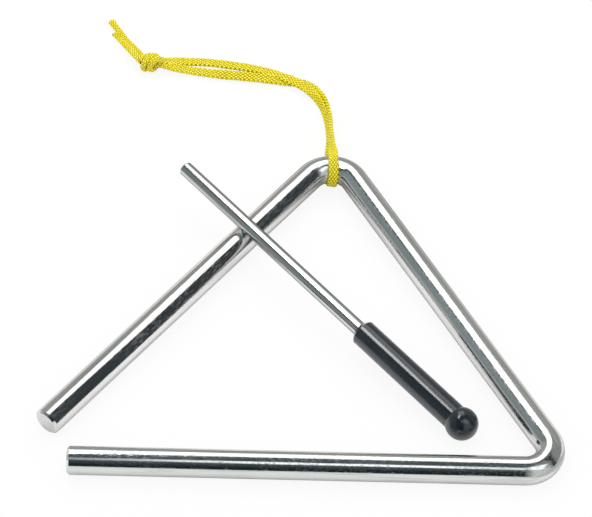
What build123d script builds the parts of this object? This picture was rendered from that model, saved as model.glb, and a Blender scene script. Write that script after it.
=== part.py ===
from build123d import *
import math
import os

# A musical triangle lying on a table: a bent steel bar, its beater and its tied hanging cord.
# All lengths are millimetres and all angles degrees. The table is Z = 0. While the pieces are made,
# the bar's closed lower corner stands over X = Y = 0, and the last section moves the origin.

# Triangle bar: one round rod with two bends, open at the lower left
bar_diameter = 9.0
corner_bend_radius = 8.0     # to the bar's centreline
apex_bend_radius = 8.7
base_length = 155.0          # free end to lower corner, where the centrelines would meet
side_length = 150.5          # lower corner to apex
leg_length = 145.4           # apex to the other free end
corner_angle = 60.0
apex_angle = 67.0
bar_end_chamfer = 0.7

# Beater: a straight rod with a moulded grip that ends in a ball
rod_diameter = 4.75
rod_length = 126.6
rod_end_chamfer = 0.4
grip_diameter = 8.6
grip_length = 47.0           # mouth to ball centre
mouth_chamfer = 1.3
ball_diameter = 10.6
ball_blend = 0.5             # fillet where the ball meets the grip
socket_depth = 40.0
socket_clearance = 0.02      # between rod and socket, each side
ball_from_corner = (-33.3, 17.25)
beater_heading = 133.15      # seen from above, from the X axis
rest_gap = 0.15              # between the rod and the leg that it lies on

# Hanging cord: one soft braided cord, pressed flat, round the apex bend, its ends tied in a knot
cord_width = 3.2
cord_thickness = 1.15
cord_gap = 0.15              # between the cord and the bar that it goes round
front_slope = 24.0           # fall of the cord where it leaves the top of the bar
front_drop = 11.0            # length of that straight fall
knot_from_pivot = (-63.4, 51.0)
knot_heading = 158.0         # across the slanted turns, seen from above
knot_turns = 3
knot_turn_step = 2.3
knot_diameter = 6.4
knot_waist = 4.8             # diameter between two turns

# Cord section, as shares of half its width and half its thickness, flat side down
cord_outline = [
    (1.0, 0.0), (0.9, 0.6), (0.55, 1.0), (-0.55, 1.0), (-0.9, 0.6),
    (-1.0, 0.0), (-0.9, -0.6), (-0.55, -1.0), (0.55, -1.0), (0.9, -0.6),
]

# Cord routes, chosen by hand: X and Y from the pivot at the apex, Z from the table
front_route = [
    (-0.9, 24.0, 3.9), (-3.0, 33.0, 3.2), (-7.4, 39.6, 2.8), (-13.9, 44.2, 2.6), (-22.5, 46.3, 2.1),
    (-32.0, 47.3, 1.0), (-42.5, 48.3, 0.9), (-51.2, 49.3, 1.4), (-57.3, 49.9, 2.9), (-62.1, 50.0, 4.0),
]
back_route = [
    (0.0, 7.0, 0.7), (-1.5, 16.4, 0.7), (-1.1, 27.0, 0.7), (-2.3, 35.8, 0.7), (-6.5, 42.6, 0.7),
    (-13.5, 45.8, 0.7), (-22.6, 50.3, 0.7), (-34.1, 52.8, 0.7), (-47.0, 54.5, 0.7), (-55.4, 54.0, 0.9),
    (-61.7, 52.6, 2.1),
]
long_tail_route = [
    (-65.1, 53.0, 3.8), (-68.4, 58.9, 2.8), (-71.7, 63.9, 2.4), (-75.0, 68.7, 2.2), (-77.6, 72.5, 1.8),
]
short_tail_route = [
    (-66.0, 51.8, 2.4), (-69.8, 57.6, 1.2), (-72.9, 61.9, 0.7), (-75.8, 65.4, 0.7), (-77.8, 67.9, 0.7),
]

bar_radius = bar_diameter / 2
rod_radius = rod_diameter / 2
ball_radius = ball_diameter / 2
wrap_radius = bar_radius + cord_gap + cord_thickness / 2
on_base = (Align.CENTER, Align.CENTER, Align.MIN)


def polar(length, angle):
    return Vector(length * math.cos(math.radians(angle)), length * math.sin(math.radians(angle)))


# Lines of the bar in its own flat plane
side_direction = 180 - corner_angle
leg_direction = side_direction + 180 - apex_angle
base_end = Vector(-base_length, 0)
corner = Vector(0, 0)
apex = polar(side_length, side_direction)
leg_end = apex + polar(leg_length, leg_direction)

# The cord under the apex props the bar up, so its plane leans about the base
half_apex = apex_angle / 2
bend_depth = apex_bend_radius / math.sin(math.radians(half_apex))
bend_top = apex + polar(bend_depth, leg_direction + half_apex) + Vector(0, apex_bend_radius)
lean = math.degrees(math.asin((cord_gap + cord_thickness) / bend_top.Y))
bar_place = Pos(0, 0, bar_radius) * Rot(X=lean)


def on_bar_plane(point):
    return (bar_place * Pos(point)).position


def make_triangle_bar():
    radii = [corner_bend_radius, apex_bend_radius]
    path = FilletPolyline(base_end, corner, apex, leg_end, radius=radii)
    bar = sweep(Plane(path @ 0, z_dir=path % 0) * Circle(bar_radius), path)
    ends = bar.faces().filter_by(GeomType.PLANE)
    return bar_place * chamfer(ends.edges(), bar_end_chamfer)


def slope_over(start, heading, bar_start, bar_direction, distance):
    # An axis from start, seen from above along heading, passes over a bar's axis at this distance
    # when its slope t solves (along + t up)^2 = distance^2 (level^2 + 2 t level.upright + t^2 upright^2)
    offset = start - bar_start
    level = polar(1, heading).cross(bar_direction)
    upright = Vector(0, 0, 1).cross(bar_direction)
    along = offset.dot(level)
    up = offset.dot(upright)
    a = up**2 - distance**2 * upright.dot(upright)
    b = along * up - distance**2 * level.dot(upright)
    c = along**2 - distance**2 * level.dot(level)
    root = math.sqrt(b**2 - a * c)
    return max((-b + root) / a, (-b - root) / a)


# The ball stands on the table and the rod lies over the left leg
ball_centre = Vector(*ball_from_corner, ball_radius)
leg_start = on_bar_plane(leg_end)
leg_axis = (on_bar_plane(apex) - leg_start).normalized()
rest_distance = bar_radius + rod_radius + rest_gap
rod_slope = slope_over(ball_centre, beater_heading, leg_start, leg_axis, rest_distance)
beater_axis = polar(1, beater_heading) + Vector(0, 0, rod_slope)
beater_place = Plane(ball_centre, z_dir=beater_axis).location
socket_floor = grip_length - socket_depth


def make_beater_rod():
    rod = Pos(0, 0, socket_floor) * Cylinder(rod_radius, rod_length, align=on_base)
    return beater_place * chamfer(rod.edges().filter_by(GeomType.CIRCLE), rod_end_chamfer)


def make_beater_grip():
    sleeve = Cylinder(grip_diameter / 2, grip_length, align=on_base)
    sleeve = chamfer(sleeve.edges().sort_by(Axis.Z)[-1], mouth_chamfer)
    grip = sleeve + Sphere(ball_radius)
    joint_height = math.sqrt(ball_radius**2 - (grip_diameter / 2) ** 2)
    rings = grip.edges().filter_by(GeomType.CIRCLE)
    joint = rings.sort_by(lambda ring: abs(ring.center().Z - joint_height))[0]
    grip = fillet(joint, ball_blend)
    socket = Cylinder(rod_radius + socket_clearance, socket_depth, align=on_base)
    return beater_place * (grip - Pos(0, 0, socket_floor) * socket)


# The cord swings about the centre of the bar at the top of the apex bend
pivot = on_bar_plane(bend_top)


def from_pivot(point):
    return Vector(pivot.X + point[0], pivot.Y + point[1], point[2])


def on_wrap(angle):
    # Angle from straight up, growing towards the inside of the triangle
    turn = math.radians(angle)
    return pivot + Vector(0, -wrap_radius * math.sin(turn), wrap_radius * math.cos(turn))


def cord_path(points):
    # Straight runs joined by arcs as large as the runs allow
    radii = []
    for before, point, after in zip(points, points[1:], points[2:]):
        half_turn = math.radians((point - before).get_angle(after - point)) / 2
        shorter_run = min((point - before).length, (after - point).length)
        radii.append(0.45 * shorter_run / math.tan(half_turn))
    return FilletPolyline(*points, radius=radii)


def cord_tube(path):
    # The section's wide side starts level, and turns no more than the path makes it
    across = Vector(0, 0, 1).cross(path % 0)
    section_plane = Plane(path @ 0, x_dir=across, z_dir=path % 0)
    corners = [(x * cord_width / 2, y * cord_thickness / 2) for x, y in cord_outline]
    section = section_plane * Polygon(*corners, align=None)
    tube = sweep(section, path)
    share = tube.volume / section.area / path.length
    print("cord run", round(path.length, 1), "volume share", round(share, 4))
    return tube


def make_hanger_loop():
    leave = on_wrap(-front_slope)
    fall = Vector(0, math.cos(math.radians(front_slope)), -math.sin(math.radians(front_slope)))
    front = [leave, leave + fall * front_drop] + [from_pivot(point) for point in front_route]
    back = [on_wrap(180)] + [from_pivot(point) for point in back_route]
    half_wrap = (180 - front_slope) / 2
    over = ThreePointArc(leave, on_wrap((half_wrap - front_slope) / 2), on_wrap(half_wrap))
    under = ThreePointArc(on_wrap(half_wrap), on_wrap((half_wrap + 180) / 2), on_wrap(180))
    return cord_tube(cord_path(front)) + cord_tube(Wire([over, under])) + cord_tube(cord_path(back))


def make_hanger_tail(route):
    return cord_tube(cord_path([from_pivot(point) for point in route]))


def make_hanger_knot():
    waist = knot_waist / 2
    crown = knot_diameter / 2
    start = -knot_turn_step * knot_turns / 2
    profile = [(0, start)]
    for turn in range(knot_turns):
        low = start + turn * knot_turn_step
        for share, radius in ((0, waist), (0.3, crown), (0.7, crown)):
            profile.append((radius, low + share * knot_turn_step))
    profile += [(waist, -start), (0, -start)]
    knot = revolve(make_face(Polyline(*profile, close=True)), Axis.Y)
    centre = from_pivot((*knot_from_pivot, crown))
    return Pos(centre) * Rot(Z=knot_heading - 90) * knot


pieces = {
    "triangle_bar": make_triangle_bar(),
    "beater_rod": make_beater_rod(),
    "beater_grip": make_beater_grip(),
    "hanger_loop": make_hanger_loop(),
    "hanger_knot": make_hanger_knot(),
    "hanger_tail_long": make_hanger_tail(long_tail_route),
    "hanger_tail_short": make_hanger_tail(short_tail_route),
}

# The origin lies on the table, under the middle of the bar and beater
rigid_names = ["triangle_bar", "beater_rod", "beater_grip"]
middle = Compound([pieces[name] for name in rigid_names]).bounding_box().center()
to_origin = Pos(-middle.X, -middle.Y, 0)
print("pivot", (to_origin * Pos(pivot)).position, "corner", to_origin.position, "lean", round(lean, 4))

os.makedirs("parts", exist_ok=True)
for name, piece in pieces.items():
    export_step(to_origin * piece, f"parts/{name}.step")
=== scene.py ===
import math
import random

import bpy
from mathutils import Matrix, Vector


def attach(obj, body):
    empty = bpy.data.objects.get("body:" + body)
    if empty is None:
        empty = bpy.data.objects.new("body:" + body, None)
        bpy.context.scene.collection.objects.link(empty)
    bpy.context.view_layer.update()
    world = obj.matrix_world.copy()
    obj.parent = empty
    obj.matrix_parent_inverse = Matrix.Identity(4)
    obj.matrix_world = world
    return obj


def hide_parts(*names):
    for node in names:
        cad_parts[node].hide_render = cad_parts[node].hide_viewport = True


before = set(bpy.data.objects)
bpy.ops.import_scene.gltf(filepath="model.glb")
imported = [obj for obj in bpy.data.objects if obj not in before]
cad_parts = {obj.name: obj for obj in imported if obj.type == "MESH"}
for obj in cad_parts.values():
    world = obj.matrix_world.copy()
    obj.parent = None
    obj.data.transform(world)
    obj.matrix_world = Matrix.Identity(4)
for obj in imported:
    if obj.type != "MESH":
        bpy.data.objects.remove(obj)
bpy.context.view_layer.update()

# Triangle bar: one length of drawn steel rod, bent twice round a former and sawn off square.
# It is polished and nickel plated, and the fine lines from drawing still run along it.
bar_radius = 0.0045
bend_radius = 0.0087
bar_lean = math.radians(0.6041)
lower_corner = (0.0836415, -0.0616484, bar_radius)
apex_line_offset = 0.13854
side_facing = math.radians(30.0)
leg_facing = math.radians(143.0)
lay_corner = 0.009
lay_slant = 0.3
drawn_squeeze = 0.02
satin_squeeze = 0.40
drawn_share = 0.35
plate_roughness = 0.07
fleck_roughness = 0.19
nickel_dark = (0.60, 0.60, 0.59, 1)
nickel_light = (0.84, 0.84, 0.83, 1)
nickel_edge = (0.72, 0.72, 0.72, 1)


class Tone:
    """One socket of a material; arithmetic on it adds Math nodes."""

    def __init__(self, socket):
        self.socket = socket

    def node(self, kind, settings=None, inputs=None, output=0):
        """Any other node: its settings come first, then the values or links of its sockets."""
        tree = self.socket.id_data
        made = tree.nodes.new("ShaderNode" + kind)
        for name, value in (settings or {}).items():
            setattr(made, name, value)
        for name, value in (inputs or {}).items():
            if isinstance(value, Tone):
                tree.links.new(value.socket, made.inputs[name])
            else:
                made.inputs[name].default_value = value
        return Tone(made.outputs[output])

    def math(self, operation, *others, first=None):
        values = [self, *others] if first is None else [first, self]
        return self.node("Math", {"operation": operation}, dict(enumerate(values)))

    def mix(self, first, second):
        """A colour between two, with this value as the share of the second."""
        inputs = {0: self, 6: first, 7: second}
        return self.node("Mix", {"data_type": "RGBA"}, inputs, output=2)

    def between(self, low, high):
        """0 at or below low, 1 at or above high, and smooth between them."""
        return self.node(
            "MapRange", {"interpolation_type": "SMOOTHSTEP"},
            {"Value": self, "From Min": low, "From Max": high},
        )

    def __add__(self, other):
        return self.math("ADD", other)

    def __sub__(self, other):
        return self.math("SUBTRACT", other)

    def __mul__(self, other):
        return self.math("MULTIPLY", other)

    def __radd__(self, other):
        return self.math("ADD", first=other)

    def __rsub__(self, other):
        return self.math("SUBTRACT", first=other)

    def __rmul__(self, other):
        return self.math("MULTIPLY", first=other)


def new_finish(name):
    """A material with its shader node, and its object coordinates as a Tone."""
    finish = bpy.data.materials.new(name)
    finish.use_nodes = True
    shader = finish.node_tree.nodes["Principled BSDF"]
    place = finish.node_tree.nodes.new("ShaderNodeTexCoord")
    return finish, shader, Tone(place.outputs["Object"])


def feed(shader, **inputs):
    """Links or sets the shader's sockets; base_color stands for Base Color."""
    for name, value in inputs.items():
        socket = shader.inputs[name.replace("_", " ").title().replace("Ior", "IOR")]
        if isinstance(value, Tone):
            shader.id_data.links.new(value.socket, socket)
        else:
            socket.default_value = value


def axes_of(place):
    """The three parts of a vector."""
    split = place.socket.id_data.nodes.new("ShaderNodeSeparateXYZ")
    place.socket.id_data.links.new(place.socket, split.inputs[0])
    return [Tone(socket) for socket in split.outputs]


def dress(node, finish):
    """Gives a kept part its finish."""
    part = bpy.data.objects[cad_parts[node].name]
    part.data.materials.clear()
    part.data.materials.append(finish)


plated_bar, shader, place = new_finish("plated_bar")
flat = place.node(
    "Mapping", {"vector_type": "TEXTURE"},
    {"Vector": place, "Location": lower_corner, "Rotation": (bar_lean, 0, 0)},
)
x, y, height = axes_of(flat)
off_base = y * -1.0
off_side = x * math.cos(side_facing) + y * math.sin(side_facing)
off_leg = x * math.cos(leg_facing) + y * math.sin(leg_facing) - apex_line_offset
off_line = off_base.math("SMOOTH_MAX", off_side, lay_corner).math("SMOOTH_MAX", off_leg, lay_corner)
along = x - y * lay_slant
drawn_lay = place.node("CombineXYZ", None, {"X": off_line, "Y": height, "Z": along * drawn_squeeze})
satin_lay = place.node("CombineXYZ", None, {"X": off_line, "Y": height, "Z": along * satin_squeeze})
drawn = place.node("TexNoise", None, {"Vector": drawn_lay, "Scale": 2600.0, "Detail": 3.0})
satin = place.node("TexNoise", None, {"Vector": satin_lay, "Scale": 3000.0, "Detail": 2.0})
cloudy = place.node("TexNoise", None, {"Vector": place, "Scale": 45.0, "Detail": 3.0})
relief = drawn * drawn_share + satin * (1 - drawn_share)
ripple = place.node("Bump", None, {"Strength": 1.0, "Distance": 0.000004, "Height": relief})
flecks = satin.between(0.46, 0.66) * cloudy.between(0.25, 0.60)
feed(
    shader, metallic=1.0, normal=ripple, specular_tint=nickel_edge,
    base_color=drawn.between(0.25, 0.55).mix(nickel_dark, nickel_light),
    roughness=plate_roughness + flecks * fleck_roughness,
)
dress("triangle_bar", plated_bar)

# Hanging cord: one soft tubular braid of yellow yarns, 3.6 mm wide where it is pressed flat.
# It goes round the apex bend, and both ends run into the knot, so the two strands lie together.
cord_width = 0.0036
cord_thickness = 0.0013
carriers_each_way = 6
braid_pitch = 0.0094
braid_step = 0.00021
yarn_width = 0.00090
yarn_width_range = (0.92, 1.06)
yarn_thickness = 0.00044
yarn_rise = 0.00020
yarn_inset = yarn_rise + yarn_thickness / 2
yarn_spread = 1.10
yarn_section = [(-1, -0.6), (-0.8, 0.3), (-0.35, 0.9), (0.35, 0.9), (0.8, 0.3), (1, -0.6)]
core_inset = yarn_inset + yarn_rise * 0.6
core_sides = 14
core_every = 2
lay_per_metre = 1000
tint_shift = 40
pivot = Vector((0.0074292, 0.0616484, 0.0058))
wrap_radius = 0.00515
wrap_asides = [0.0006, 0.0008, 0.0008, 0.0002, -0.0003]
front_leaves = math.radians(24.0)
front_aside = -0.085
front_drop = 0.008
bar_clearance = 0.00003
table_clearance = 0.00002
bend_reach = 0.012
swings = [math.radians(angle) for angle in (0, 30, 60, 90, 120, 150)]
route_resolution = 48

# Points of the two strands: X and Y from the pivot at the apex, Z from the table
front_route = [
    (-0.0004, 0.0133, 0.0061), (-0.0006, 0.0185, 0.0048), (-0.0008, 0.0248, 0.0036),
    (-0.0017, 0.0310, 0.0028), (-0.0038, 0.0364, 0.0022), (-0.0069, 0.0415, 0.0017),
    (-0.0108, 0.0446, 0.0013), (-0.0157, 0.0447, 0.0012), (-0.0208, 0.0457, 0.0014),
    (-0.0263, 0.0463, 0.0015), (-0.0325, 0.0470, 0.0015), (-0.0409, 0.0477, 0.0015),
    (-0.0488, 0.0487, 0.0016), (-0.0548, 0.0498, 0.0020), (-0.0596, 0.0504, 0.0029),
    (-0.0625, 0.0505, 0.0033),
]
back_route = [
    (-0.0004, 0.0066, 0.0010), (-0.0010, 0.0143, 0.0018), (-0.0013, 0.0207, 0.0021),
    (-0.0020, 0.0261, 0.0020), (-0.0032, 0.0310, 0.0021), (-0.0050, 0.0355, 0.0022),
    (-0.0081, 0.0398, 0.0024), (-0.0120, 0.0429, 0.0025), (-0.0166, 0.0459, 0.0021),
    (-0.0219, 0.0491, 0.0013), (-0.0286, 0.0513, 0.0010), (-0.0359, 0.0526, 0.0009),
    (-0.0436, 0.0538, 0.0009), (-0.0505, 0.0538, 0.0010), (-0.0557, 0.0530, 0.0019),
    (-0.0597, 0.0515, 0.0033), (-0.0625, 0.0509, 0.0036),
]

# The loop's twist in degrees and its share of the cord's width, each at a distance from the knot
loop_twists = [
    (0.000, 0), (0.008, 14), (0.038, 16), (0.048, 8), (0.055, 12), (0.062, 60), (0.070, 84),
    (0.079, 80), (0.089, 60), (0.098, 20), (0.105, 0), (0.124, 0), (0.136, -80), (0.150, -80),
    (0.162, -22), (0.172, -4), (0.200, -8), (0.222, 0),
]
loop_widths = [
    (0.000, 1.0), (0.010, 1.0), (0.018, 1.06), (0.024, 1.12), (0.036, 1.16), (0.056, 1.0),
    (0.160, 1.0), (0.176, 1.12), (0.208, 1.12), (0.216, 1.0), (0.222, 1.0),
]
loop_waves = [(0.03, 310.0, 0.0), (0.02, 790.0, 1.0)]
# Yarn colours: yellow on the crests, and painted shade where a yarn dips under and along its edges.
yarn_bright = (1.0, 0.895, 0.006, 1)
yarn_painted_shade = (0.33, 0.215, 0.0006, 1)
core_painted_shade = (0.09, 0.055, 0.0003, 1)


def from_pivot(point):
    return Vector((pivot.x + point[0], pivot.y + point[1], point[2]))


def on_wrap(angle, radius, aside):
    """A point round the bar, at an angle from straight up that grows towards the triangle's inside."""
    return pivot + Vector((aside, -radius * math.sin(angle), radius * math.cos(angle)))


def smooth_line(name, route):
    """A smooth line that follows a route, as closely spaced points."""
    curve = bpy.data.curves.new(name, "CURVE")
    curve.dimensions = "3D"
    curve.resolution_u = route_resolution
    spline = curve.splines.new("NURBS")
    spline.points.add(len(route) - 1)
    for control, point in zip(spline.points, route):
        control.co = (*point, 1)
    spline.order_u = 3
    spline.use_endpoint_u = True
    holder = bpy.data.objects.new(name, curve)
    mesh = bpy.data.meshes.new_from_object(holder)
    line = [vertex.co.copy() for vertex in mesh.vertices]
    bpy.data.meshes.remove(mesh)
    bpy.data.objects.remove(holder)
    bpy.data.curves.remove(curve)
    return line


def even_steps(line, wide_side, anchor):
    """Even steps along a line, each with its place, direction, wide side and flat side.
    The wide side is given at one share of the length, and turns no more than it has to."""
    reached = [0.0]
    for before, point in zip(line, line[1:]):
        reached.append(reached[-1] + (point - before).length)
    count = round(reached[-1] / braid_step)
    places, part = [], 0
    for index in range(count + 1):
        distance = reached[-1] * index / count
        while part < len(line) - 2 and reached[part + 1] < distance:
            part += 1
        span = max(reached[part + 1] - reached[part], 1e-12)
        places.append(line[part].lerp(line[part + 1], (distance - reached[part]) / span))
    ways = [
        (places[min(i + 2, count)] - places[max(i - 2, 0)]).normalized() for i in range(count + 1)
    ]
    start = round(anchor * count)
    sides = [None] * (count + 1)
    for order in (range(start, count + 1), range(start, -1, -1)):
        side = wide_side
        for i in order:
            side = (side - ways[i] * side.dot(ways[i])).normalized()
            sides[i] = side
    steps = [(p, w, s, w.cross(s)) for p, w, s in zip(places, ways, sides)]
    return steps, reached[-1]


def turned(step, twist):
    """A step with its wide side turned about the cord's direction."""
    place, way, side, up = step
    cos, sin = math.cos(twist), math.sin(twist)
    return place, way, side * cos + up * sin, up * cos - side * sin


def run_round(half_width, half_thick):
    """The length of the way round a flattened section."""
    return 4 * (half_width - half_thick) + 2 * math.pi * half_thick


def round_section(share, half_width, half_thick):
    """The place and the outward direction at a share of the way round a flattened section."""
    flat_run = 2 * (half_width - half_thick)
    end_run = math.pi * half_thick
    run = share % 1 * 2 * (flat_run + end_run)
    half = 1
    if run >= flat_run + end_run:
        run -= flat_run + end_run
        half = -1
    if run < flat_run:
        return half * (run - flat_run / 2), half * half_thick, 0.0, half
    angle = (run - flat_run) / half_thick
    out_x, out_y = half * math.sin(angle), half * math.cos(angle)
    return half * flat_run / 2 + half_thick * out_x, half_thick * out_y, out_x, out_y


def off_the_bar(point):
    """Keeps a point of the cord off the table, and out of the bent bar wherever the cord swings."""
    clear = bar_radius + bar_clearance
    upright = Vector((0, -math.sin(bar_lean), math.cos(bar_lean)))
    outward = Vector((0, math.cos(bar_lean), math.sin(bar_lean)))
    reach = Vector((point.x, point.y, max(point.z, table_clearance))) - pivot
    if reach.length < bend_reach:
        for swing in swings * 2:
            turn = Matrix.Rotation(swing, 3, "X")
            from_centre = turn @ reach + outward * bend_radius
            level = from_centre - upright * from_centre.dot(upright)
            away = from_centre - level.normalized() * bend_radius
            if away.length < clear:
                reach += turn.transposed() @ away.normalized() * (clear - away.length)
    pushed = pivot + reach
    return Vector((pushed.x, pushed.y, max(pushed.z, table_clearance)))


def between_marks(marks, distance):
    """A value that runs smoothly from one mark to the next."""
    for (start, first), (end, last) in zip(marks, marks[1:]):
        if distance <= end:
            share = (distance - start) / (end - start)
            return first + (last - first) * share * share * (3 - 2 * share)
    return marks[-1][1]


def yarn_tube(steps, length, section_at, last, hand, carrier, width, tint):
    """The points of one yarn, ring by ring, and each point's way along, way across and rise."""
    open_run = run_round(cord_width / 2 - yarn_inset, cord_thickness / 2 - yarn_inset)
    places, marks = [], []
    for i in range(last + 1):
        distance = length * i / (len(steps) - 1)
        half_width, half_thick, twist = section_at(distance, length)
        place, way, side, up = turned(steps[i], twist)
        half_width, half_thick = half_width - yarn_inset, half_thick - yarn_inset
        round_run = run_round(half_width, half_thick)
        squeezed = min(1.0, yarn_spread * round_run / open_run)
        angle = math.atan2(round_run, braid_pitch)
        crossing = 2 * carriers_each_way * distance / braid_pitch
        wave = math.cos(math.pi * crossing) * hand
        rise = wave * (1.5 - 0.5 * wave * wave)
        share = carrier / carriers_each_way + hand * distance / braid_pitch
        for across, deep in yarn_section:
            sideways = across * width * squeezed / 2
            sx, sy, ox, oy = round_section(
                share + sideways * math.cos(angle) / round_run, half_width, half_thick
            )
            lift = rise * yarn_rise + deep * yarn_thickness / 2
            point = place + side * (sx + ox * lift) + up * (sy + oy * lift)
            places.append(point - way * (hand * sideways * math.sin(angle)))
            marks.append((distance * lay_per_metre + tint * tint_shift, across, rise))
    return places, marks


def core_tube(steps, length, section_at):
    """The points of the core that fills the yarns, with the same marks."""
    places, marks = [], []
    for i in range(0, len(steps), core_every):
        distance = length * i / (len(steps) - 1)
        half_width, half_thick, twist = section_at(distance, length)
        place, way, side, up = turned(steps[i], twist)
        for j in range(core_sides):
            sx, sy, _, _ = round_section(
                j / core_sides, half_width - core_inset, half_thick - core_inset
            )
            places.append(place + side * sx + up * sy)
            marks.append((distance * lay_per_metre, 0.0, -1.0))
    return places, marks


def tube_faces(first, rings, sides):
    """The walls between a tube's rings of points, and its two ends."""
    faces = []
    for low in range(first, first + (rings - 1) * sides, sides):
        for j in range(sides):
            a, b = low + j, low + (j + 1) % sides
            faces.append((a, b, b + sides, a + sides))
    last = first + (rings - 1) * sides
    faces.append(tuple(range(first, first + sides))[::-1])
    faces.append(tuple(range(last, last + sides)))
    return faces


def braid(name, line, wide_side, anchor, section_at, end_at=None, seed=1):
    """Makes a braided cord: yarns that wind both ways round a core, one over and one under.
    section_at gives half the width, half the thickness and the twist at a distance along it."""
    steps, length = even_steps(line, wide_side, anchor)
    chance = random.Random(seed)
    tubes = []
    for hand in (1, -1):
        for carrier in range(carriers_each_way):
            width = yarn_width * chance.uniform(*yarn_width_range)
            tint = chance.random()
            last = len(steps) - 1 - (end_at(chance) if end_at else 0)
            yarn = yarn_tube(steps, length, section_at, last, hand, carrier, width, tint)
            tubes.append((*yarn, len(yarn_section), 0))
    tubes.append((*core_tube(steps, length, section_at), core_sides, 1))
    places, marks, faces, looks = [], [], [], []
    for tube_places, tube_marks, sides, look in tubes:
        walls = tube_faces(len(places), len(tube_places) // sides, sides)
        places += tube_places
        marks += tube_marks
        faces += walls
        looks += [look] * len(walls)
    mesh = bpy.data.meshes.new(name)
    mesh.from_pydata([off_the_bar(point) for point in places], [], faces)
    rise_marks = mesh.attributes.new("yarn_rise", "FLOAT", "POINT")
    rise_marks.data.foreach_set("value", [rise for _, _, rise in marks])
    lay = mesh.uv_layers.new(name="along_yarn")
    for loop in mesh.loops:
        along, across, _ = marks[loop.vertex_index]
        lay.data[loop.index].uv = (along, across)
    mesh.polygons.foreach_set("material_index", looks)
    piece = bpy.data.objects.new(name, mesh)
    bpy.context.scene.collection.objects.link(piece)
    bpy.ops.object.select_all(action="DESELECT")
    bpy.context.view_layer.objects.active = piece
    piece.select_set(True)
    bpy.ops.object.mode_set(mode="EDIT")
    bpy.ops.mesh.select_all(action="SELECT")
    bpy.ops.mesh.normals_make_consistent(inside=False)
    bpy.ops.object.mode_set(mode="OBJECT")
    bpy.ops.object.shade_smooth()
    mesh.materials.append(yellow_yarn)
    mesh.materials.append(yarn_core_in_painted_shade)
    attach(piece, "hanger")
    return piece, [step[0] for step in steps], length


yellow_yarn, shader, place = new_finish("yellow_yarn")
yarn_lay = Tone(place.socket.node.outputs["UV"])
rise = place.node("Attribute", {"attribute_name": "yarn_rise"}, output=2)
along_yarn, across_yarn, _ = axes_of(yarn_lay)
fibre_lay = place.node("CombineXYZ", None, {"X": along_yarn * 0.35, "Y": across_yarn * 2.6})
fibres = place.node("TexNoise", None, {"Vector": fibre_lay, "Scale": 2.2, "Detail": 3.0})
patchy = place.node("TexNoise", None, {"Vector": place, "Scale": 500.0, "Detail": 2.0})
# Painted shade: the colour darkens where a yarn dips under its neighbour and towards its edges; the
# coat shines on the crests only.
yarn_edge_painted_shade = across_yarn.math("ABSOLUTE").between(0.45, 1.0)
fibre_tone = 0.85 + fibres.between(0.3, 0.65) * 0.15
patch_tone = 0.9 + patchy.between(0.35, 0.7) * 0.1
lit_crest_share = rise.between(-0.4, 0.8) * fibre_tone * (1.0 - yarn_edge_painted_shade * 0.75)
hairs = place.node("Bump", None, {"Strength": 0.5, "Distance": 0.00006, "Height": fibres})
feed(
    shader, normal=hairs,
    base_color=(lit_crest_share * patch_tone).mix(yarn_painted_shade, yarn_bright),
    roughness=0.25 + fibres * 0.10, specular_ior_level=0.0,
    coat_weight=lit_crest_share.between(0.50, 0.90), coat_roughness=0.10, coat_ior=2.3,
)
# The core is painted near black and dark ochre with random speckle, as shade in the gaps between the
# yarns.
yarn_core_in_painted_shade, shader, place = new_finish("yarn_core_in_painted_shade")
speckle = place.node("TexNoise", None, {"Vector": place, "Scale": 1500.0, "Detail": 2.0})
feed(
    shader, base_color=speckle.between(0.3, 0.7).mix(core_painted_shade, yarn_painted_shade), roughness=0.9,
)

wrap_step = (math.pi + front_leaves) / len(wrap_asides)
corner_radius = wrap_radius / math.cos(wrap_step / 2)
corner_run = wrap_radius * math.tan(wrap_step / 2)
falling = Vector((front_aside, math.cos(front_leaves), -math.sin(front_leaves)))
leaves_top = on_wrap(-front_leaves, wrap_radius, wrap_asides[0])
loop_route = [from_pivot(point) for point in reversed(front_route)]
loop_route += [leaves_top + falling * front_drop, leaves_top + falling * corner_run]
loop_route += [
    on_wrap(-front_leaves + (corner + 0.5) * wrap_step, corner_radius, aside)
    for corner, aside in enumerate(wrap_asides)
]
loop_route += [on_wrap(math.pi, wrap_radius, wrap_asides[-1]) + Vector((0, corner_run, 0))]
loop_route += [from_pivot(point) for point in back_route]
loop_line = smooth_line("hanger_route", loop_route)
wrap_share = 0.5


def loop_section(distance, length):
    """Pressed flat, a little uneven, and turned on edge where the strands leave the bar."""
    wave = sum(size * math.sin(distance * rate + shift) for size, rate, shift in loop_waves)
    twist = math.radians(between_marks(loop_twists, distance))
    half_width = cord_width / 2 * (1 + wave) * between_marks(loop_widths, distance)
    return half_width, cord_thickness / 2 * (1 - wave), twist


hanger_loop, loop_places, loop_length = braid(
    "hanger_loop_braid", loop_line, Vector((1, 0, 0)), wrap_share, loop_section, seed=3
)
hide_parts("hanger_loop")

# Knot: both ends of the cord tied together in one overhand knot and pulled tight.
# Its turns are the same braid, wound slantwise one beside the other round the strands.
knot_centre = from_pivot((-0.0635, 0.0506, 0.0036))
knot_heading = math.radians(171)
knot_axis = Vector((math.cos(knot_heading), math.sin(knot_heading), 0))
knot_starts = 2.6
knot_turns = 2.3
knot_turn_step = 0.0023
knot_line_radius = 0.0025
knot_slant = 0.0016
knot_corners = 8
knot_end_share = 0.10
knot_end_sinks = 0.55
knot_width = 0.0024
knot_thickness = 0.0019
knot_wave = 0.05
knot_wave_rate = 700
knot_middle = 0.5


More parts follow.
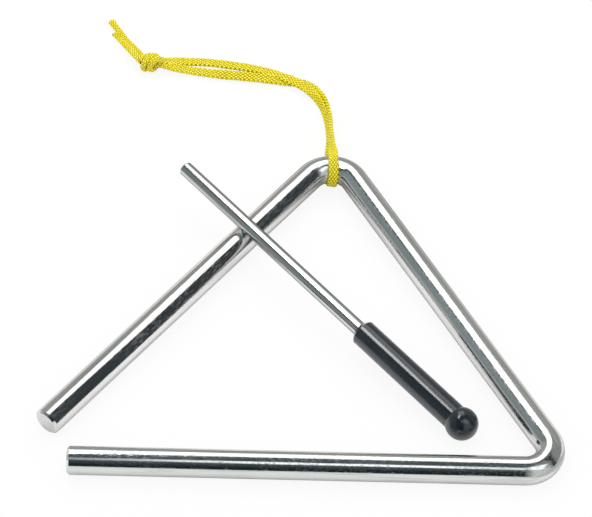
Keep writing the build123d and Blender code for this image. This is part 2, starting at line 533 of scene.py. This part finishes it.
def knot_route():
    """Corners of the slanted turns, whose two ends sink into the knot."""
    level = Vector((-knot_axis.y, knot_axis.x, 0))
    corner_reach = knot_line_radius / math.cos(math.pi / knot_corners)
    count = round(knot_turns * knot_corners)
    route = []
    for corner in range(count + 1):
        angle = knot_starts - 2 * math.pi * corner / knot_corners
        share = corner / count - 0.5
        near_end = max(0, abs(share) - (0.5 - knot_end_share)) / knot_end_share
        out = level * math.cos(angle) + Vector((0, 0, 1)) * math.sin(angle)
        along = share * knot_turns * knot_turn_step + knot_slant * math.cos(angle)
        reach = corner_reach * (1 - knot_end_sinks * near_end)
        route.append(knot_centre + out * reach + knot_axis * along)
    return route


def knot_section(distance, length):
    """Nearly round, because the turns are pulled tight."""
    wave = knot_wave * math.sin(distance * knot_wave_rate)
    return knot_width / 2 * (1 + wave), knot_thickness / 2, 0.0


knot_line = smooth_line("knot_route", knot_route())
hanger_knot, _, _ = braid(
    "hanger_knot_turns", knot_line, knot_axis, knot_middle, knot_section, seed=5
)
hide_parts("hanger_knot")

# Tails: the two cut ends of the cord, which stand out of the knot side by side.
# They are cut straight through and not sealed, so their yarns end unevenly.
tail_routes = {
    "long": [
        (-0.0660, 0.0531, 0.0026), (-0.0671, 0.0552, 0.0022), (-0.0697, 0.0593, 0.0015),
        (-0.0724, 0.0626, 0.0013), (-0.0757, 0.0676, 0.0015), (-0.0788, 0.0725, 0.0016),
    ],
    "short": [
        (-0.0665, 0.0503, 0.0038), (-0.0679, 0.0527, 0.0032), (-0.0704, 0.0569, 0.0021),
        (-0.0729, 0.0608, 0.0014), (-0.0757, 0.0652, 0.0009), (-0.0773, 0.0673, 0.0009),
    ],
}
tail_width = 0.0025
tail_thickness = 0.0015
tail_flare = 0.0022
flare_wider = 0.15
flare_thicker = 0.2
uneven_steps = 4
first_seed = 11


def tail_section(distance, length):
    """Nearly round, and open where it is cut."""
    open_end = max(0.0, 1 - (length - distance) / tail_flare)
    half_width = tail_width / 2 * (1 + flare_wider * open_end)
    return half_width, tail_thickness / 2 * (1 + flare_thicker * open_end), 0.0


def uneven_end(chance):
    """How many steps short of the cut a yarn ends."""
    return chance.randint(0, uneven_steps)


for seed, (name, route) in enumerate(tail_routes.items(), first_seed):
    tail_line = smooth_line(f"tail_{name}_route", [from_pivot(point) for point in route])
    across = (tail_line[-1] - tail_line[0]).cross(Vector((0, 0, 1))).normalized()
    piece, _, _ = braid(
        f"hanger_tail_{name}_braid", tail_line, across, 0.0, tail_section, uneven_end, seed
    )
    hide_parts(f"hanger_tail_{name}")

# Beater rod: a straight length of the same drawn and plated steel, chamfered at its end.
# Its other end is pushed into the grip's socket.
ball_centre = (0.0503415, -0.0443984, 0.0053)
beater_heading = math.radians(133.15)
beater_rise = math.atan(0.0700)
beater_turn = (0, math.pi / 2 - beater_rise, beater_heading)
drawn_stretch = (1, 1, 160)
rod_roughness = 0.09
rod_line_roughness = 0.08
rod_dark = (0.48, 0.48, 0.47, 1)
rod_light = (0.78, 0.78, 0.77, 1)
rod_edge = (0.08, 0.08, 0.08, 1)

plated_rod, shader, place = new_finish("plated_rod")
straight = place.node(
    "Mapping", {"vector_type": "TEXTURE"},
    {"Vector": place, "Location": ball_centre, "Rotation": beater_turn, "Scale": drawn_stretch},
)
drawn = place.node(
    "TexNoise", None, {"Vector": straight, "Scale": 4200.0, "Detail": 3.0, "Roughness": 0.6}
)
ripple = place.node("Bump", None, {"Strength": 0.1, "Distance": 0.00012, "Height": drawn})
feed(
    shader, metallic=1.0, normal=ripple, specular_tint=rod_edge,
    base_color=drawn.between(0.25, 0.6).mix(rod_dark, rod_light),
    roughness=rod_roughness + drawn.between(0.35, 0.7) * rod_line_roughness,
)
dress("beater_rod", plated_rod)

# Beater grip: one glossy black plastic moulding with a bored socket and a ball for an end.
# The rod is pressed in, and the gloss is a little worn and dusty where a hand holds it.
grip_roughness = 0.26
grip_worn_roughness = 0.10
grip_black = (0.003, 0.008, 0.014, 1)
grip_dusty = (0.009, 0.017, 0.027, 1)

black_grip, shader, place = new_finish("black_grip")
handled = place.node("TexNoise", None, {"Vector": place, "Scale": 180.0, "Detail": 4.0})
grain = place.node("TexNoise", None, {"Vector": place, "Scale": 2500.0, "Detail": 2.0})
uneven = grain + handled * 0.6
skin = place.node("Bump", None, {"Strength": 0.6, "Distance": 0.00005, "Height": uneven})
feed(
    shader, normal=skin,
    base_color=handled.between(0.35, 0.75).mix(grip_black, grip_dusty),
    roughness=grip_roughness + handled.between(0.4, 0.8) * grip_worn_roughness,
    specular_ior_level=0.15, coat_weight=1.0, coat_roughness=0.18, coat_ior=1.72,
)
dress("beater_grip", black_grip)

# Table: a plain white sweep that the triangle lies on.
# It is white to the camera and in the metal, with painted shade far off, past the corner and in front
# where the metal shows it, and still takes the soft shadow.
table_size = 6.0
table_white = (0.82, 0.82, 0.82, 1)
# Painted shade that only the metal shows: grey far off and a paler grey in front.
table_painted_shade_far = (0.42, 0.43, 0.42, 1)
table_painted_shade_front = (0.68, 0.70, 0.69, 1)
glow_white = (1, 1, 1, 1)
seen_shade_share = 0.11
mirrored_shade_share = 0.92

bpy.ops.object.select_all(action="DESELECT")
bpy.ops.mesh.primitive_plane_add(size=table_size, location=(0, 0, 0))
table = bpy.context.object
table.name = "table"
paper = bpy.data.materials.new("white_paper")
paper.use_nodes = True
nodes, links = paper.node_tree.nodes, paper.node_tree.links
nodes.remove(nodes["Principled BSDF"])
rays = nodes.new("ShaderNodeLightPath")
camera_ray = Tone(rays.outputs["Is Camera Ray"])
through_glass = Tone(rays.outputs["Is Transmission Ray"])
mirrored = Tone(rays.outputs["Is Glossy Ray"]).math("MAXIMUM", through_glass)
place = Tone(nodes.new("ShaderNodeTexCoord").outputs["Object"])
x, y, _ = axes_of(place)
left, front = x * -1.0, y * -1.0
# Where the painted shade lies: behind the triangle except near the rod's tip, past the lower corner,
# and in front.
near_rod_tip = y.between(0.028, 0.040) * left.between(0.015, 0.030)
behind = (y + x.math("ABSOLUTE") * 0.55).between(0.025, 0.078) * (1.0 - near_rod_tip)
past_corner = x.between(0.080, 0.096) * front.between(0.040, 0.052)
far_painted_shade = behind.math("MAXIMUM", past_corner)
front_painted_shade = front.between(0.066, 0.076)
mirrored_tone = far_painted_shade.mix(front_painted_shade.mix(table_white, table_painted_shade_front), table_painted_shade_far)
lit_mirrored = place.node("BsdfDiffuse", None, {"Color": mirrored_tone})
lit_white = place.node("BsdfDiffuse", None, {"Color": table_white})
lit = place.node("MixShader", None, {0: mirrored, 1: lit_white, 2: lit_mirrored})
glow_tone = (mirrored * far_painted_shade).mix(glow_white, table_painted_shade_far)
glow = place.node("Emission", None, {"Color": glow_tone})
glow_share = camera_ray * (1 - seen_shade_share) + mirrored * (1 - mirrored_shade_share)
surface = place.node("MixShader", None, {0: glow_share.math("MINIMUM", 1.0), 1: lit, 2: glow})
links.new(surface.socket, nodes["Material Output"].inputs["Surface"])
table.data.materials.append(paper)

# Studio: a soft box that hangs behind the triangle and faces down, in a plain pale room.
# A small bright lamp hangs over the left side, for its shine alone.
# The metal shows both, with a dark ceiling, pale walls and two windows in front.
lamps = {
    "soft_box": ((0.001, 0.335, 0.407), (0.298, 0.450), 0, 1.25, True),
    "shine_lamp": ((-0.360, 0.221, 1.2), (0.170, 0.490), -31, 9.5, False),
}
room_low = (0.15, 0.15, 0.15, 1)
room_high = (1.24, 1.24, 1.24, 1)
room_seen = (1, 1, 1, 1)
ceiling = (0.056, 0.076, 0.084, 1)
ceiling_front = (0.004, 0.010, 0.014, 1)
right_wall = (0.24, 0.255, 0.255, 1)
right_wall_front = (0.58, 0.60, 0.59, 1)
door_dark = (0.034, 0.042, 0.046, 1)
door_way = (0.6, 0.8)
low_wall = (0.70, 0.74, 0.71, 1)
low_wall_tilt = 0.08
left_wall_low = (0.42, 0.46, 0.45, 1)
left_wall_high = (0.22, 0.26, 0.265, 1)
left_wall_front = (0.20, 0.235, 0.235, 1)
left_wall_set_back = 0.14
back_wall = (0.34, 0.35, 0.335, 1)
window_white = (1.25, 1.33, 1.33, 1)
curtain_share = 0.8

for name, (lamp_place, lamp_size, lamp_turn, radiance, lights_table) in lamps.items():
    lamp_rotation = (0, 0, math.radians(lamp_turn))
    bpy.ops.object.light_add(type="AREA", location=lamp_place, rotation=lamp_rotation)
    lamp = bpy.context.object
    lamp.name = name
    lamp.data.shape = "RECTANGLE"
    lamp.data.size, lamp.data.size_y = lamp_size
    lamp.data.energy = radiance * math.pi * lamp_size[0] * lamp_size[1]
    lamp.visible_camera = False
    lamp.visible_diffuse = lights_table

room = bpy.data.worlds.new("studio_room")
bpy.context.scene.world = room
room.use_nodes = True
nodes, links = room.node_tree.nodes, room.node_tree.links
look = nodes.new("ShaderNodeTexCoord")
look_x, look_y, look_z = axes_of(Tone(look.outputs["Generated"]))
look_left, look_front = look_x * -1.0, look_y * -1.0
off_middle = look_x.math("ABSOLUTE")
shown = look_front.between(0.55, 1.0).mix(ceiling, ceiling_front)
to_door = look_x * door_way[0] + look_y * door_way[1]
door = to_door.between(0.36, 0.42) * (1.0 - to_door.between(0.51, 0.61))
beside = look_front.between(0.20, 0.50).mix(right_wall, right_wall_front)
shown = look_x.between(0.07, 0.42).mix(shown, door.mix(beside, door_dark))
low = 1.0 - (look_z + look_x * low_wall_tilt).between(0.01, 0.13)
shown = low.mix(shown, low_wall)
left_wall = look_z.between(0.05, 0.5).mix(left_wall_low, left_wall_high)
left_wall = look_front.between(0.0, 0.35).mix(left_wall, left_wall_front)
set_back = (1.0 - look_y.between(0.10, 0.20)) * left_wall_set_back
shown = (look_left - set_back).between(0.38, 0.62).mix(shown, left_wall)
shown = look_y.between(0.42, 0.70).mix(shown, back_wall)
window = look_y.between(-0.56, -0.46) * look_z.between(0.5, 0.6)
middle_window = window * (1.0 - look_y.between(-0.30, -0.20)) * (1.0 - off_middle.between(0.12, 0.25))
middle_window = middle_window * (1.0 - off_middle.between(0.035, 0.085) * curtain_share)
right_window = window * (1.0 - look_y.between(-0.20, -0.08))
right_window = right_window * look_x.between(0.06, 0.25) * (1.0 - look_x.between(0.60, 0.76))
shown = middle_window.math("MAXIMUM", right_window).mix(shown, window_white)
rays = nodes.new("ShaderNodeLightPath")
lighting = look_z.between(0.0, 0.6).mix(room_low, room_high)
level = Tone(rays.outputs["Is Glossy Ray"]).mix(lighting, shown)
level = Tone(rays.outputs["Is Camera Ray"]).mix(level, room_seen)
links.new(level.socket, nodes["Background"].inputs["Color"])

# Camera: a long lens looking down on the table from the front.
# Its place, aim and lens are fitted to the bar's edges in the photograph.
camera_place = Vector((0.01650, -0.64681, 0.77171))
camera_aim = Vector((-0.00323, 0.02225, 0.00539))
camera_lens = 190.0
camera_sensor = 36.0
camera_clip = (0.05, 20.0)

bpy.ops.object.camera_add(location=camera_place)
camera = bpy.context.object
camera.rotation_euler = (camera_aim - camera_place).to_track_quat("-Z", "Y").to_euler()
camera.data.lens = camera_lens
camera.data.sensor_width = camera_sensor
camera.data.clip_start, camera.data.clip_end = camera_clip
bpy.context.scene.camera = camera
bpy.context.scene.view_settings.view_transform = "Standard"
